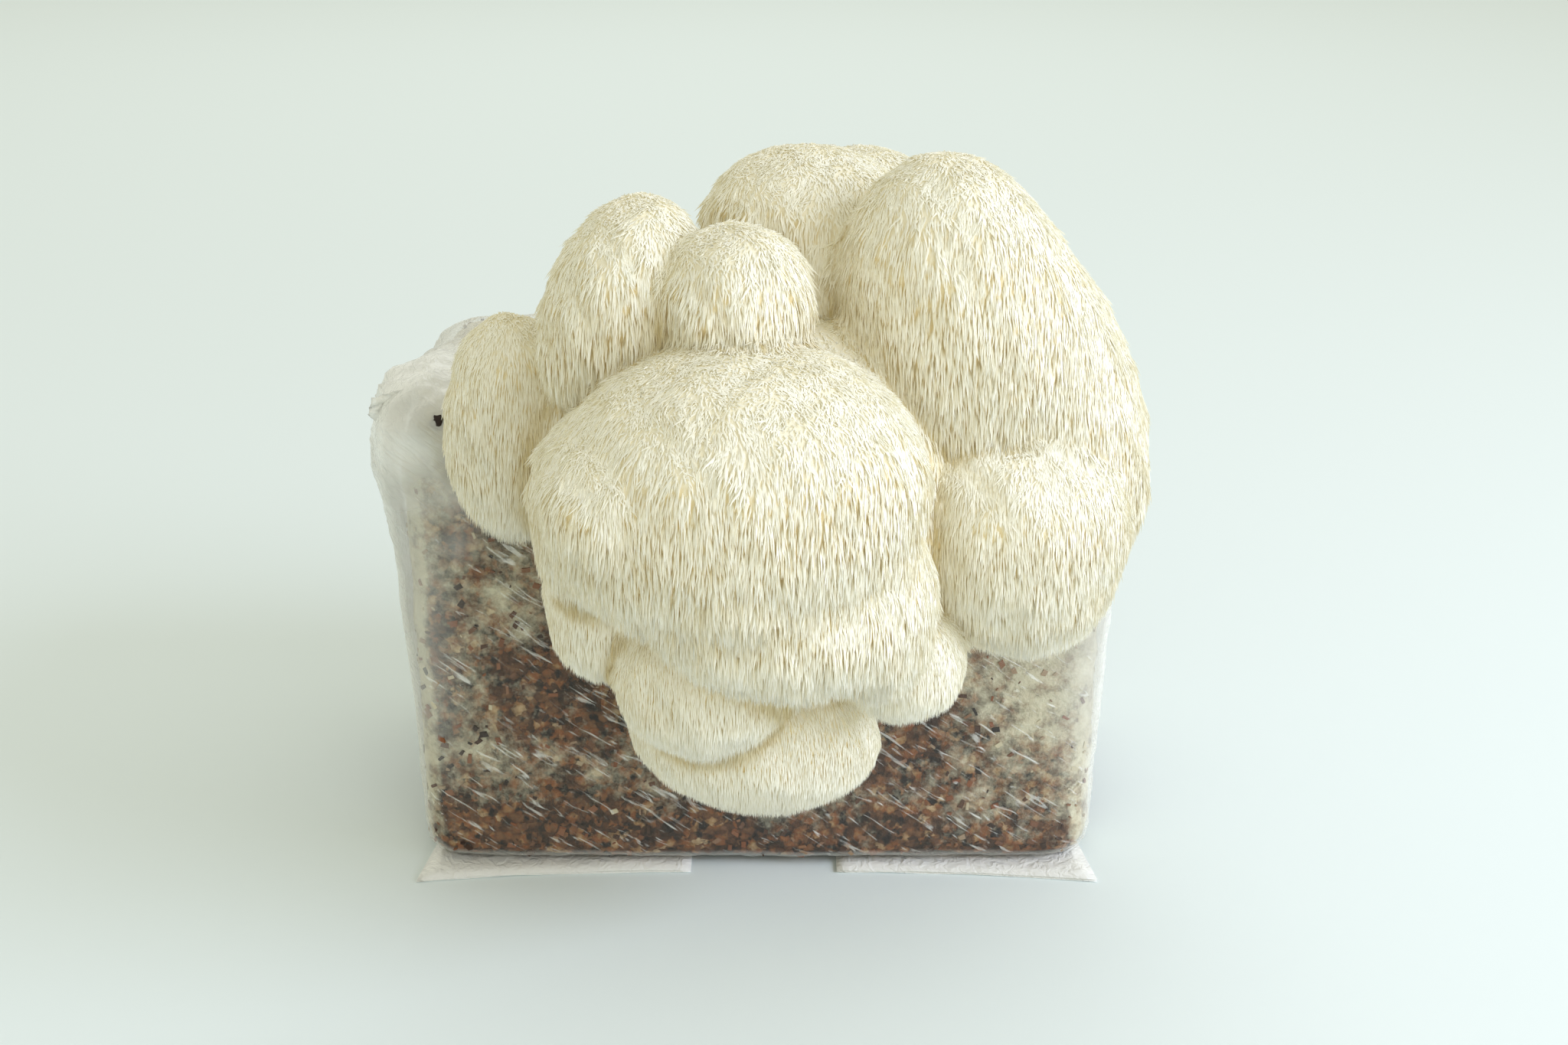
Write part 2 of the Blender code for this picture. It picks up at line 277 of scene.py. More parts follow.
def mushroom_flesh(name, fibres):
    """Fresh lion's mane flesh: matt and moist, cream at the tips of the spines and golden at their
    roots and between them. The skin that they grow from has fibres of its own, hanging streaks a
    millimetre wide. A trace of golden glow stands for the light that wanders through the flesh, so
    that the shade between the spines is never grey."""
    material, tree, shader = new_material(name)
    along = add_node(tree, "ShaderNodeAttribute", {"attribute_name": "along"}).outputs["Fac"]
    tone = add_node(tree, "ShaderNodeAttribute", {"attribute_name": "tone"}).outputs["Fac"]
    if fibres:
        place = add_node(tree, "ShaderNodeTexCoord").outputs["Object"]
        stretched = add_node(
            tree,
            "ShaderNodeVectorMath",
            {"operation": "MULTIPLY"},
            {0: place, 1: (1 / (0.8 * MM), 1 / (0.8 * MM), 1 / (6 * MM))},
        ).outputs["Vector"]
        streaks = add_node(
            tree, "ShaderNodeTexNoise", inputs={"Vector": stretched, "Scale": 1.0, "Detail": 2.0}
        ).outputs["Fac"]
        along = add_node(
            tree,
            "ShaderNodeMapRange",
            inputs={"Value": streaks, "From Min": 0.35, "From Max": 0.65, "To Min": along, "To Max": 0.5},
        ).outputs["Result"]
    colour = add_node(
        tree, "ShaderNodeValToRGB", inputs={"Fac": along}, stops=SPINE_STOPS
    ).outputs["Color"]
    # The tone browns the colour: real variation between spines, and painted shade off the crowns and in
    # the creases.
    varied_and_shaded = add_node(
        tree,
        "ShaderNodeMix",
        {"data_type": "RGBA", "blend_type": "MULTIPLY"},
        {"Factor": tone, "A": colour, "B": linear("#D6C79E")},
    )
    tree.links.new(varied_and_shaded.outputs["Result"], shader.inputs["Base Color"])
    shader.inputs["Roughness"].default_value = 0.65
    shader.inputs["IOR"].default_value = 1.4
    shader.inputs["Specular IOR Level"].default_value = 0.3
    shader.inputs["Emission Color"].default_value = linear("#F2E4B4")
    shader.inputs["Emission Strength"].default_value = 0.065
    return material


def new_piece(name, mesh, material):
    """Puts a mesh in the scene as a smooth piece of the object that rides on its one body."""
    mesh.materials.clear()
    mesh.materials.append(material)
    mesh.polygons.foreach_set("use_smooth", np.ones(len(mesh.polygons), bool))
    piece = bpy.data.objects.new(name, mesh)
    bpy.context.scene.collection.objects.link(piece)
    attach(piece, "root")
    return piece


def mesh_of_triangles(name, points, triangles):
    mesh = bpy.data.meshes.new(name)
    mesh.vertices.add(len(points))
    mesh.vertices.foreach_set("co", np.ascontiguousarray(points, np.float32).ravel())
    mesh.loops.add(triangles.size)
    mesh.loops.foreach_set("vertex_index", triangles.ravel().astype(np.int32))
    mesh.polygons.add(len(triangles))
    mesh.polygons.foreach_set("loop_start", np.arange(0, triangles.size, 3, dtype=np.int32))
    mesh.update(calc_edges=True)
    return mesh


def points_of(mesh):
    flat = np.empty(len(mesh.vertices) * 3, np.float32)
    mesh.vertices.foreach_get("co", flat)
    return flat.reshape(-1, 3).astype(float)


def normals_of(mesh):
    flat = np.empty(len(mesh.vertices) * 3, np.float32)
    mesh.vertices.foreach_get("normal", flat)
    return flat.reshape(-1, 3).astype(float)


def set_points(mesh, points):
    mesh.vertices.foreach_set("co", np.ascontiguousarray(points, np.float32).ravel())
    mesh.update()


def set_attribute(mesh, name, values):
    attribute = mesh.attributes.new(name, "FLOAT", "POINT")
    attribute.data.foreach_set("value", np.ascontiguousarray(values, np.float32))


def remeshed(mesh, voxel, smoothing):
    """The same closed form as an even skin of voxel-sized faces, then smoothed."""
    holder = bpy.data.objects.new("holder", mesh)
    bpy.context.scene.collection.objects.link(holder)
    remesh = holder.modifiers.new("Remesh", "REMESH")
    remesh.mode = "VOXEL"
    remesh.voxel_size = voxel
    smooth = holder.modifiers.new("Smooth", "SMOOTH")
    smooth.iterations = smoothing
    bpy.context.view_layer.update()
    evaluated = holder.evaluated_get(bpy.context.evaluated_depsgraph_get())
    result = bpy.data.meshes.new_from_object(evaluated)
    bpy.data.objects.remove(holder)
    return result


# Where a point is on a head

def turn_of(lean):
    return np.array(Matrix.Rotation(math.radians(lean), 3, "Y"))


def inset_of(up):
    """How far the flesh lies inside the tips, for a surface that faces up by this much."""
    crown = smooth_step(up, 0.3, 0.95)
    under = smooth_step(-up, 0.1, 0.9)
    return FLANK_INSET + (CROWN_INSET - FLANK_INSET) * crown + (UNDER_INSET - FLANK_INSET) * under


def head_surface(name, directions):
    """Points of a head's flesh, and the way out from it, for directions from the head's middle."""
    centre, half, lean = HEADS[name][:3]
    half = np.array(half) * MM
    turn = turn_of(lean)
    outward = directions / half
    outward /= np.linalg.norm(outward, axis=1, keepdims=True)
    outward = outward @ turn.T
    outline = (directions * half) @ turn.T + np.array(centre) * MM
    return outline - outward * inset_of(outward[:, 2:3]), outward


def distance_from(name, points):
    """How far points lie outside the flesh of a head, about, and the way out from it there."""
    centre, half, lean = HEADS[name][:3]
    half = np.array(half) * MM - FLANK_INSET
    turn = turn_of(lean)
    local = (points - np.array(centre) * MM) @ turn
    share = np.linalg.norm(local / half, axis=1)
    slope = local / half**2
    steep = np.linalg.norm(slope, axis=1)
    return (share - 1) * share / steep, (slope / steep[:, None]) @ turn.T


def lumps_at(points):
    """How far the flesh swells at each point, and how steeply that changes there."""
    chance = np.random.default_rng(12)
    height = np.zeros(len(points))
    slope = np.zeros_like(points)
    for _ in range(LUMP_WAVES):
        wave = chance.normal(size=3) * (1, 1, 0.5)
        wave *= chance.uniform(0.6, 1.6) * math.tau / LUMP_SIZE / np.linalg.norm(wave)
        phase = points @ wave + chance.uniform(0, math.tau)
        height += np.sin(phase)
        slope += np.cos(phase)[:, None] * wave
    share = LUMP_HEIGHT * math.sqrt(2 / LUMP_WAVES)
    return height * share, slope * share


def run_together(name, points, outward):
    """Fills the creases between one head and the others, widely in its own family. Returns the
    points and the ways out, how near a crease each is, and whether each is in the open."""
    rise = np.zeros(len(points))
    facing = outward.copy()
    crease_shade = np.zeros(len(points))
    open_air = np.ones(len(points), bool)
    family = FAMILIES.get(name, name)
    for other in HEADS:
        if other == name:
            continue
        related = FAMILIES.get(other, other) == family
        reach = FAMILY_MELT[family] if related else STRANGER_MELT
        gap, way = distance_from(other, points)
        share = np.clip(1 - abs(gap) / reach, 0, 1)
        lift = share**2 * reach / 4
        higher = lift > rise
        rise[higher] = lift[higher]
        blend = share[:, None] / 2
        facing[higher] = (outward * (1 - blend) + way * blend)[higher]
        open_air &= gap > -HIDDEN_MARGIN
        near = 1 - smooth_step(gap, 0, CREASE_SHADE_REACH)
        crease_shade = np.maximum(crease_shade, near * (FAMILY_CREASE_SHADE if related else 1))
    facing /= np.linalg.norm(facing, axis=1, keepdims=True)
    height, slope = lumps_at(points)
    points = points + facing * (rise + height)[:, None]
    facing = facing - slope
    facing /= np.linalg.norm(facing, axis=1, keepdims=True)
    return points, facing, crease_shade, open_air


def clear_of_block(points, margin):
    """Moves points that would be inside the bag out through its front or its top."""
    front = block_low.y - margin
    top = block_high.z + margin
    reach = block_high.x + margin
    inside = (points[:, 1] > front) & (points[:, 2] < top) & (abs(points[:, 0]) < reach)
    to_front = points[:, 1] - front
    to_top = top - points[:, 2]
    moved = points.copy()
    forward = inside & (to_front <= to_top)
    upward = inside & (to_front > to_top)
    moved[forward, 1] = front
    moved[upward, 2] = top
    return moved


def make_flesh(material):
    """The solid flesh that the spines grow from: all the heads run together, on their stem."""
    shape = bmesh.new()
    for name in HEADS:
        ball = bmesh.ops.create_icosphere(shape, subdivisions=4, radius=1)["verts"]
        directions = np.array([vertex.co.normalized() for vertex in ball])
        points = run_together(name, *head_surface(name, directions))[0]
        points = clear_of_block(points, FLESH_CLEARANCE)
        for vertex, point in zip(ball, points):
            vertex.co = point
    turn = Matrix.Rotation(math.pi / 2, 4, "X")
    rod = bmesh.ops.create_cone(
        shape, cap_ends=True, segments=48, radius1=1, radius2=1, depth=1, matrix=turn
    )["verts"]
    for vertex in rod:
        vertex.co.x = STEM_CENTRE.x + vertex.co.x * STEM_HALF_WIDTH
        vertex.co.z = STEM_CENTRE.z + vertex.co.z * STEM_HALF_HEIGHT
        vertex.co.y = STEM_END if vertex.co.y < 0 else block_low.y - STEM_GAP
    mesh = bpy.data.meshes.new("flesh")
    shape.to_mesh(mesh)
    shape.free()
    skin = remeshed(mesh, FLESH_VOXEL, 1)
    # The skin is painted paler on the crowns, as painted light where the light from above reaches it.
    set_attribute(skin, "along", 0.6 * smooth_step(normals_of(skin)[:, 2], 0.0, 0.8))
    set_attribute(skin, "tone", np.full(len(skin.vertices), 0.1))
    return new_piece("flesh", skin, material)


# The spines

def even_directions(count):
    """Directions spread evenly over a sphere, along a spiral."""
    step = np.arange(count) + 0.5
    up = 1 - 2 * step / count
    turn = step * math.pi * (3 - math.sqrt(5))
    flat = np.sqrt(1 - up * up)
    return np.stack([flat * np.cos(turn), flat * np.sin(turn), up], axis=1)


def flow(points, size, seed):
    """A smooth random sideways drift, the same for spines that stand close together."""
    chance = np.random.default_rng(seed)
    drift = np.zeros_like(points)
    for _ in range(FLOW_WAVES):
        wave = chance.normal(size=3)
        wave *= chance.uniform(0.6, 1.5) * math.tau / size / np.linalg.norm(wave)
        push = chance.normal(size=3)
        drift += np.sin(points @ wave + chance.uniform(0, math.tau))[:, None] * push
    return drift / math.sqrt(FLOW_WAVES)


def spine_roots(name, flesh, chance):
    """Where spines stand on one head's flesh, clear of the other heads and of the bag, the way out
    there, and how near a crease it is."""
    _, half, _, region, velvet = HEADS[name]
    half = np.array(half) * MM
    stretch = np.prod(half) / half.min()
    directions = even_directions(int(4 * math.pi * stretch / CROWN_ROOM))
    directions += chance.normal(scale=0.3 * math.sqrt(CROWN_ROOM) / half.mean(), size=directions.shape)
    directions /= np.linalg.norm(directions, axis=1, keepdims=True)
    roots, outward = head_surface(name, directions)
    crown = smooth_step(outward[:, 2], 0.3, 0.9)
    room = FLANK_ROOM + (CROWN_ROOM - FLANK_ROOM) * crown
    room += (VELVET_ROOM - room) * velvet
    area = np.prod(half) * np.linalg.norm(directions / half, axis=1)
    thinning = 1 - (1 - BACK_THINNING) * smooth_step(outward[:, 1], 0.1, 0.6)
    if region == "spines_inner":
        thinning *= BACK_THINNING
    kept = chance.uniform(size=len(roots)) < area / stretch * CROWN_ROOM / room * thinning
    roots, outward, crease_shade, open_air = run_together(name, roots, outward)
    kept &= open_air
    full = PARTING_LEVEL + 0.3 * crown + velvet
    kept &= flow(roots * PARTING_STRETCH, PARTING_SIZE, 6)[:, 0] < full
    kept &= np.all(clear_of_block(roots, ROOT_CLEARANCE) == roots, axis=1)
    standing = np.array([flesh.find_nearest(root)[0] for root in roots[kept]])
    return standing, outward[kept], crease_shade[kept]


def hang_of(outward):
    """The way spines lie: hanging where they can, else down the slope, and on the side that the
    fruit body grew towards also forward."""
    forward = FORWARD_PULL * (1 - smooth_step(outward[:, 1:2], 0.0, 0.6))
    pull = DOWN + np.array((0.0, -1.0, 0.0)) * forward
    into = np.minimum(np.sum(pull * outward, axis=1, keepdims=True), 0)
    lie = pull - outward * into
    return lie / np.maximum(np.linalg.norm(lie, axis=1, keepdims=True), 0.45)


def clear_of_flesh(flesh, places, height):
    """Moves places that lie in the flesh, or too close on it, out to this height above it."""
    moved = places.copy()
    for index, place in enumerate(places):
        near, normal, _, _ = flesh.find_nearest(place)
        if (Vector(place) - near).dot(normal) < height:
            moved[index] = near + normal * height
    return moved


def spine_paths(roots, outward, velvet, flesh, chance):
    """The root, the bend and the tip of each spine: it leaves the flesh at a slant, then lies close
    over it or hangs free."""
    up = outward[:, 2:3]
    crown = smooth_step(up, 0.35, 0.95)
    under = smooth_step(-up, 0.1, 0.9)
    length = FLANK_LENGTH + (CROWN_LENGTH - FLANK_LENGTH) * crown
    length += (UNDER_LENGTH - FLANK_LENGTH) * under
    length += (VELVET_LENGTH - length) * velvet
    length *= chance.uniform(0.65 + 0.2 * velvet, 1.15, size=length.shape)
    loose = 1 - 0.7 * velvet
    drift = flow(roots, 12 * MM, 3) * 0.05 + flow(roots, 4 * MM, 4) * 0.05
    wander = (drift + chance.normal(scale=0.05, size=roots.shape)) * loose * (1 + 6 * crown)
    wander -= outward * np.sum(wander * outward, axis=1, keepdims=True)
    curl = chance.normal(scale=0.05, size=roots.shape) * loose * (1 + 2 * crown)
    lie = hang_of(outward)
    slant = outward * (0.2 + 0.15 * crown) + lie + wander
    bend = roots + (slant * BEND_SHARE * length - outward * ROOT_DEPTH)
    bend = clear_of_flesh(flesh, bend, BEND_HEIGHT)
    tip = bend + (lie * (1 - 0.3 * crown) + wander + curl) * (1 - BEND_SHARE) * length
    tip = clear_of_flesh(flesh, tip, TIP_HEIGHT)
    free = [clear_of_block(places, SPINE_CLEARANCE) for places in (bend, tip)]
    return np.stack([roots - outward * ROOT_DEPTH] + free, axis=1)


def spine_mesh(name, spines):
    """One mesh of many flat spines, each a closed blade of four corners: root, both sides of the
    bend, and tip. They are shaded mostly as the head that they lie on, as wet fibres that cling
    together are."""
    gathered = [np.concatenate(part) for part in zip(*spines)]
    paths, half_widths, tones, crown_light_and_pallor, outward, facing = gathered
    root, bend, tip = paths[:, 0], paths[:, 1], paths[:, 2]
    across = np.cross(facing, tip - root)
    across /= np.linalg.norm(across, axis=1, keepdims=True)
    over = np.cross(tip - root, across)
    over /= np.linalg.norm(over, axis=1, keepdims=True)
    height = np.sum((bend - root) * over, axis=1)
    bend = bend + over * np.maximum(SPINE_THICKNESS - height, 0)[:, None]
    aside = across * half_widths[:, None]
    rows = np.stack([root, bend - aside, bend + aside, tip], axis=1)
    pattern = np.array([(0, 1, 2), (1, 3, 2), (0, 2, 3), (0, 3, 1)])
    corners = np.arange(len(paths))[:, None, None] * 4 + pattern[None]
    mesh = mesh_of_triangles(name, rows.reshape(-1, 3), corners.reshape(-1, 3))
    # How far along its spine each corner counts for the colour. A spine's root counts as further along
    # where it is painted paler: on the crowns as painted light from above, and on the velvety heads.
    along = np.tile((0.0, 0.6, 0.6, 1.0), (len(paths), 1))
    along[:, 0] = crown_light_and_pallor
    set_attribute(mesh, "along", along.ravel())
    set_attribute(mesh, "tone", np.repeat(tones, 4))

    # Only the outer two of the four faces are shaded as the head. The inner two stay as they are.
    round_left = outward * ROUND_SHARE - across
    round_right = outward * ROUND_SHARE + across
    normals = np.stack([outward, round_left, round_right, outward], axis=1)
    normals /= np.linalg.norm(normals, axis=2, keepdims=True)
    normals = normals[:, pattern]
    normals[:, 2:] = 0
    return mesh, normals.reshape(-1, 3)


def make_spines(flesh, material):
    """The spines of all the heads, gathered into one piece for each region of the fruit body."""
    chance = np.random.default_rng(8)
    regions = {}
    for name, (*_, region, velvet) in HEADS.items():
        roots, outward, crease_shade = spine_roots(name, flesh, chance)
        paths = spine_paths(roots, outward, velvet, flesh, chance)
        crown = smooth_step(outward[:, 2], 0.1, 0.8)
        shaggy = (1 - 0.6 * velvet) * (1 - 0.6 * crown)
        # Spines are painted browner off the crowns and in the creases, as painted shade where less light
        # reaches them. They also vary in drifts, and each by chance.
        tone = 0.23 * (1 - crown) * (1 - 0.6 * velvet) + 0.7 * crease_shade**1.5 * (1 - 0.8 * crown)
        tone += 0.05 * flow(roots, 22 * MM, 9)[:, 0]
        tone = np.clip(tone + 0.17 * shaggy * chance.normal(size=len(roots)), 0, 1)
        # Roots are painted paler on the crowns, as painted light from above, and paler again on the
        # velvety heads.
        crown_light_and_pallor = np.clip(0.05 + 0.7 * crown + 0.4 * velvet, 0, 0.8)
        half_widths = SPINE_HALF_WIDTH * (1 - 0.35 * velvet) * chance.uniform(0.6, 1.1, len(roots))
        facing = outward + chance.normal(scale=FACING_SPREAD, size=outward.shape)
        regions.setdefault(region, []).append((paths, half_widths, tone, crown_light_and_pallor, outward, facing))
    for region, spines in regions.items():
        mesh, normals = spine_mesh(region, spines)
        new_piece(region, mesh, material)
        outer_faces = np.tile((True, True, False, False), len(mesh.polygons) // 4)
        mesh.polygons.foreach_set("use_smooth", outer_faces)
        mesh.normals_split_custom_set(normals)


# The block and its bag

def layered_noise(place, size):
    """Three layers of noise, each half as large and half as strong as the one before."""
    value = 0
    weight = 1
    for _ in range(3):
        value += noise.noise(place / size) * weight
        size /= 2
        weight /= 2
    return value


def growth_of(points, outward):
    """How far white mycelium covers the sawdust, 0 to 1: thick on the upright edges and the top,
    down from the upper left, and thinner again in the middle of each side and at the foot. The
    places that it is worked out from are in millimetres."""
    across, depth, height = (points / MM).T
    beside = smooth_step(abs(outward[:, 0]), 0.3, 0.75)
    growth = 0.36 + 0.6 * beside
    growth += 0.25 * smooth_step(across, 60, 98) + 0.05 * smooth_step(-across, 60, 98)
    growth -= 0.75 * beside * (1 - smooth_step(abs(depth), 15, 52))
    growth += 0.5 * smooth_step(outward[:, 2], 0.4, 0.9)
    growth += 0.28 * smooth_step(height, 70, 112) * smooth_step(-across, 15, 80)
    growth += 0.2 * smooth_step(across, 40, 85)
    growth -= 0.5 * (1 - smooth_step(height, 4, 24))
    return np.clip(growth, 0, 1)


def make_block():
    """The compressed sawdust, from the frame's solid, with hollows pressed in its skin, and the
    loose chips that lie on it under the film."""
    block = remeshed(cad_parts["substrate_block"].data.copy(), BLOCK_VOXEL, 8)
    points = points_of(block)
    normals = normals_of(block)
    depth = np.array([layered_noise(Vector(point), 9 * MM) for point in points])
    growth = growth_of(points, normals)
    points += normals * (depth[:, None] * 0.8 * MM - 0.3 * MM)
    set_points(block, points)
    set_attribute(block, "growth", growth)
    piece = new_piece("sawdust_block", block, colonised_sawdust())
    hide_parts("substrate_block")
    make_chips(points, normals, growth)


def make_chips(points, normals, growth):
    """Small flakes pressed flat on the block, fewer where the mycelium has covered it."""
    chance = np.random.default_rng(5)
    bare = 1.15 - growth
    bare *= np.where(normals[:, 1] < -0.5, 1.0, 0.5) * (normals[:, 2] > -0.5)
    chosen = chance.choice(len(points), CHIP_COUNT, replace=False, p=bare / bare.sum())
    middle = points[chosen] + chance.normal(scale=0.5 * BLOCK_VOXEL, size=(CHIP_COUNT, 3))
    up = normals[chosen]
    middle += up * np.sum((points[chosen] - middle) * up, axis=1, keepdims=True)
    spin = np.cross(up, chance.normal(size=up.shape))
    spin /= np.linalg.norm(spin, axis=1, keepdims=True)
    side = np.cross(up, spin)
    long = chance.uniform(0.4, 1.5, (CHIP_COUNT, 1)) * MM
    wide = long * chance.uniform(0.3, 0.8, (CHIP_COUNT, 1))
    thick = chance.uniform(0.12, 0.35, (CHIP_COUNT, 1)) * MM
    corners = []
    for high in (-1, 1):
        for turn in range(4):
            angle = math.tau * (turn + 0.5) / 4
            reach = chance.uniform(0.6, 1.1, (CHIP_COUNT, 1))
            flat = spin * long * math.cos(angle) + side * wide * math.sin(angle)
            corners.append(middle + flat * reach * math.sqrt(2) + up * (high * thick + 0.1 * MM))
    pattern = [(0, 2, 1), (0, 3, 2), (4, 5, 6), (4, 6, 7)]
    for turn in range(4):
        after = (turn + 1) % 4
        pattern += [(turn, after, after + 4), (turn, after + 4, turn + 4)]
    triangles = np.arange(CHIP_COUNT)[:, None, None] * 8 + np.array(pattern)[None]
    places = np.stack(corners, axis=1).reshape(-1, 3)
    mesh = mesh_of_triangles("sawdust_chips", places, triangles.reshape(-1, 3))
    pale = growth[chosen] > chance.uniform(0.3, 1.2, CHIP_COUNT)
    tones = np.where(pale, chance.uniform(0.8, 1.0, CHIP_COUNT), chance.uniform(0, 0.85, CHIP_COUNT))
    set_attribute(mesh, "tone", np.repeat(tones, 8))
    new_piece("sawdust_chips", mesh, loose_chips())
    mesh.polygons.foreach_set("use_smooth", np.zeros(len(mesh.polygons), bool))


def colonised_sawdust():
    """Compressed hardwood sawdust grown through with white mycelium: matt, rough and mottled, brown
    chips with painted shade in the gaps between them and hollows painted dark as shade, under a cream felt
    that is thickest at the edges of the block."""
    material, tree, shader = new_material("colonised_sawdust")
    place = add_node(tree, "ShaderNodeTexCoord").outputs["Object"]
    growth = add_node(tree, "ShaderNodeAttribute", {"attribute_name": "growth"}).outputs["Fac"]
    patterns = {}
    for use, size, detail, roughness in (
        ("shake", 1.6 * MM, 2, 0.55),
        ("grain", 1.3 * MM, 3, 0.55),
        ("lumps", 6 * MM, 5, 0.6),
        ("pit_shade", 4.5 * MM, 3, 0.55),
        ("tufts", 7 * MM, 7, 0.75),
        ("drifts", 26 * MM, 2, 0.5),
    ):
        patterns[use] = add_node(
            tree,
            "ShaderNodeTexNoise",
            inputs={"Vector": place, "Scale": 1 / size, "Detail": detail, "Roughness": roughness},
        )

    # Ragged chips: cells 2.4 mm wide, whose places are shaken by a finer noise.
    shaken = add_node(
        tree,
        "ShaderNodeVectorMath",
        {"operation": "MULTIPLY_ADD"},
        {0: patterns["shake"].outputs["Color"], 1: (2.2 * MM,) * 3, 2: place},
    ).outputs["Vector"]
    cells = add_node(tree, "ShaderNodeTexVoronoi", inputs={"Vector": shaken, "Scale": 1 / (2.4 * MM)})
    own = add_node(
        tree, "ShaderNodeSeparateColor", inputs={"Color": cells.outputs["Color"]}
    ).outputs["Red"]

    # A chip's brown is half its own and half that of the lump of sawdust that it lies in.
    own_share = add_node(tree, "ShaderNodeMath", {"operation": "MULTIPLY_ADD"}, {0: own, 1: 0.5, 2: -0.35})
    brown = add_node(
        tree,
        "ShaderNodeMath",
        {"operation": "MULTIPLY_ADD"},
        {0: patterns["lumps"].outputs["Fac"], 1: 1.25, 2: own_share.outputs["Value"]},
    ).outputs["Value"]

    # The felt of mycelium spreads by the growth of each place, in drifts that end in fine tufts.
    spread = patterns["drifts"].outputs["Fac"]
    for source, weight in ((patterns["tufts"].outputs["Fac"], 1.2), (growth, 0.7)):
        spread = add_node(
            tree, "ShaderNodeMath", {"operation": "MULTIPLY_ADD"}, {0: source, 1: weight, 2: spread}
        ).outputs["Value"]
    # The sum can pass 1, where a ramp ends, so it is halved.
    spread = add_node(
        tree, "ShaderNodeMath", {"operation": "MULTIPLY"}, {0: spread, 1: 0.5}
    ).outputs["Value"]

    # Painted shade: each chip is darkened towards its edges, for the gaps between chips, and near-black
    # patches stand for the shade in the hollows of the sawdust.
    shades = {}
    for use, factor, stops in (
        ("chips", brown, CHIP_STOPS),
        ("gap_shade", cells.outputs["Distance"], [(0.35, "#FFFFFF"), (0.85, "#6A564A")]),
        ("pit_shade", patterns["pit_shade"].outputs["Fac"], [(0.37, "#FFFFFF"), (0.46, "#000000")]),
        ("felt", patterns["tufts"].outputs["Fac"], FELT_STOPS),
        ("cover", spread, [(0.65, "#000000"), (0.74, "#A0A0A0"), (0.86, "#F0F0F0")]),
    ):
        shades[use] = add_node(
            tree, "ShaderNodeValToRGB", inputs={"Fac": factor}, stops=stops
        ).outputs["Color"]
    colour = shades["chips"]
    for blend, share, over in (
        ("MULTIPLY", 0.6, shades["gap_shade"]),
        ("MIX", shades["pit_shade"], linear("#170E09")),
        ("MIX", shades["cover"], shades["felt"]),
    ):
        colour = add_node(
            tree,
            "ShaderNodeMix",
            {"data_type": "RGBA", "blend_type": blend},
            {"Factor": share, "A": colour, "B": over},
        ).outputs["Result"]

    tree.links.new(colour, shader.inputs["Base Color"])
    shader.inputs["Roughness"].default_value = 0.85
    height = add_node(
        tree,
        "ShaderNodeMath",
        {"operation": "MULTIPLY_ADD"},
        {0: own, 1: 0.6, 2: patterns["grain"].outputs["Fac"]},
    ).outputs["Value"]
    bump = add_node(
        tree,
        "ShaderNodeBump",
        inputs={"Height": height, "Strength": 0.7, "Distance": 0.9 * MM},
    )
    tree.links.new(bump.outputs["Normal"], shader.inputs["Normal"])
    return material


def loose_chips():
    """Flakes of hardwood in the sawdust: matt, from nearly black bark to tan and orange heartwood."""
    material, tree, shader = new_material("loose_chips")
    tone = add_node(tree, "ShaderNodeAttribute", {"attribute_name": "tone"}).outputs["Fac"]
    colour = add_node(
        tree, "ShaderNodeValToRGB", inputs={"Fac": tone}, stops=LOOSE_CHIP_STOPS
    ).outputs["Color"]
    tree.links.new(colour, shader.inputs["Base Color"])
    shader.inputs["Roughness"].default_value = 0.8
    return material


